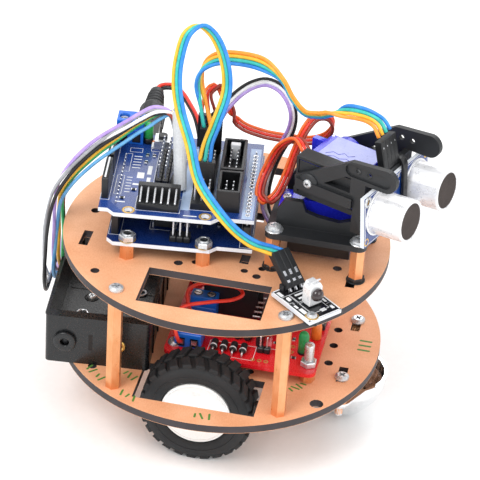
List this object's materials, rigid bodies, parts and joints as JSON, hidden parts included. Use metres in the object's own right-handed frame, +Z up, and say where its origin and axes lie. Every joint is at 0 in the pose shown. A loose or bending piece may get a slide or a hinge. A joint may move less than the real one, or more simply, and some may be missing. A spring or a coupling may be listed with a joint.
{
  "type": "two wheel robot car",
  "caption": "Round double-deck robot car on side wheels and a ball caster, with stacked circuit boards and a pan and tilt ultrasonic sensor head.",
  "frame": {"origin": "centre of the lower round plate's underside", "axes": "+X forward, +Y to the robot's left, +Z up"},
  "size_m": [0.1565, 0.1391, 0.1594],
  "materials": {
    "plate_film": "satin film over a dark core",
    "copper_post": "satin copper-coloured plating",
    "bright_steel": "satin",
    "chrome": "polished",
    "black_nylon": "fine moulded grain",
    "black_plastic": "satin",
    "driver_red": "solder mask",
    "board_blue": "solder mask",
    "board_black": "solder mask",
    "servo_blue": "translucent moulding",
    "hub_white": "satin",
    "tyre_rubber": "matt",
    "terminal_blue": "satin",
    "heatsink_black": "anodised",
    "can_aluminium": "satin",
    "receiver_steel": "tinned",
    "motor_steel": "satin",
    "ribbon_four": "PVC, one colour to a wire",
    "servo_wire": "PVC, one colour to a wire",
    "extension_wire": "PVC, one colour to a wire",
    "harness_wire": "PVC, one colour to a wire",
    "power_wire": "PVC, red and black"
  },
  "bodies": {
    "chassis": {"battery_holder": "black_nylon", "caster_housing": "chrome", "caster_standoff_left": "copper_post", "caster_standoff_right": "copper_post", "controller_board": "board_blue", "controller_standoff_front_left": "copper_post", "controller_standoff_front_right": "copper_post", "controller_standoff_rear_right": "copper_post", "deck_standoff_front_left": "copper_post", "deck_standoff_front_right": "copper_post", "deck_standoff_rear_left": "copper_post", "deck_standoff_rear_right": "copper_post", "driver_board": "driver_red", "driver_heatsink": "heatsink_black", "gear_motor_left": "motor_steel", "gear_motor_right": "motor_steel", "harness": "harness_wire", "ir_board": "board_black", "ir_plug": "black_plastic", "ir_receiver": "receiver_steel", "lower_plate": "plate_film", "motor_bracket_left": "black_nylon", "motor_bracket_right": "black_nylon", "pan_base": "black_nylon", "pan_servo": "servo_blue", "pan_servo_lead": "extension_wire", "pan_standoff_front_left": "copper_post", "pan_standoff_front_right": "copper_post", "pan_standoff_rear_left": "copper_post", "pan_standoff_rear_right": "copper_post", "port_header": "black_plastic", "power_lead": "power_wire", "power_plug": "black_plastic", "power_socket": "black_plastic", "reset_button_body": "black_plastic", "ribbon_ir": "ribbon_four", "ribbon_sonar_base": "ribbon_four", "servo_header": "black_plastic", "shield_board": "board_blue", "shield_terminal": "terminal_blue", "tilt_servo_lead": "servo_wire", "upper_plate": "plate_film", "usb_socket": "bright_steel"},
    "wheel_right": {"tyre_right": "tyre_rubber", "hub_right": "hub_white", "wheel_shaft_right": "bright_steel"},
    "wheel_left": {"tyre_left": "tyre_rubber", "hub_left": "hub_white", "wheel_shaft_left": "bright_steel"},
    "caster_ball": {"caster_ball": "chrome"},
    "pan_head": {"pan_yoke": "black_nylon", "tilt_servo": "servo_blue", "ribbon_sonar_head": "ribbon_four"},
    "tilt_head": {"tilt_bracket": "black_nylon", "sonar_board": "board_blue", "sonar_transmitter": "can_aluminium", "sonar_receiver": "can_aluminium", "sonar_plug": "black_plastic"},
    "reset_button": {"reset_button": "black_plastic"}
  },
  "joints": [
    {"name": "wheel_right_spin", "type": "hinge", "parent": "chassis", "child": "wheel_right", "pos_m": [0, -0.035, -0.005], "axis": [0, 1, 0], "continuous": true},
    {"name": "wheel_left_spin", "type": "hinge", "parent": "chassis", "child": "wheel_left", "pos_m": [0, 0.035, -0.005], "axis": [0, 1, 0], "continuous": true},
    {"name": "caster_roll", "type": "hinge", "parent": "chassis", "child": "caster_ball", "pos_m": [0.05, 0, -0.019], "axis": [0, 1, 0], "continuous": true},
    {"name": "head_pan", "type": "hinge", "parent": "chassis", "child": "pan_head", "pos_m": [0.0411, -0.0011, 0.06], "axis": [0, 0, 1], "range_deg": [-68, 68], "deforming": ["ribbon_sonar_base", "tilt_servo_lead"]},
    {"name": "head_tilt", "type": "hinge", "parent": "pan_head", "child": "tilt_head", "pos_m": [0.03721, 0.00047, 0.0834], "axis": [-0.3746, -0.9272, 0], "range_deg": [-6, 60], "deforming": ["ribbon_sonar_head"]},
    {"name": "reset_press", "type": "slide", "parent": "chassis", "child": "reset_button", "axis": [0, 0, -1], "range_m": [0, 0.00025], "stiffness_N_per_m": 2000, "springref_m": -0.0004}
  ]
}
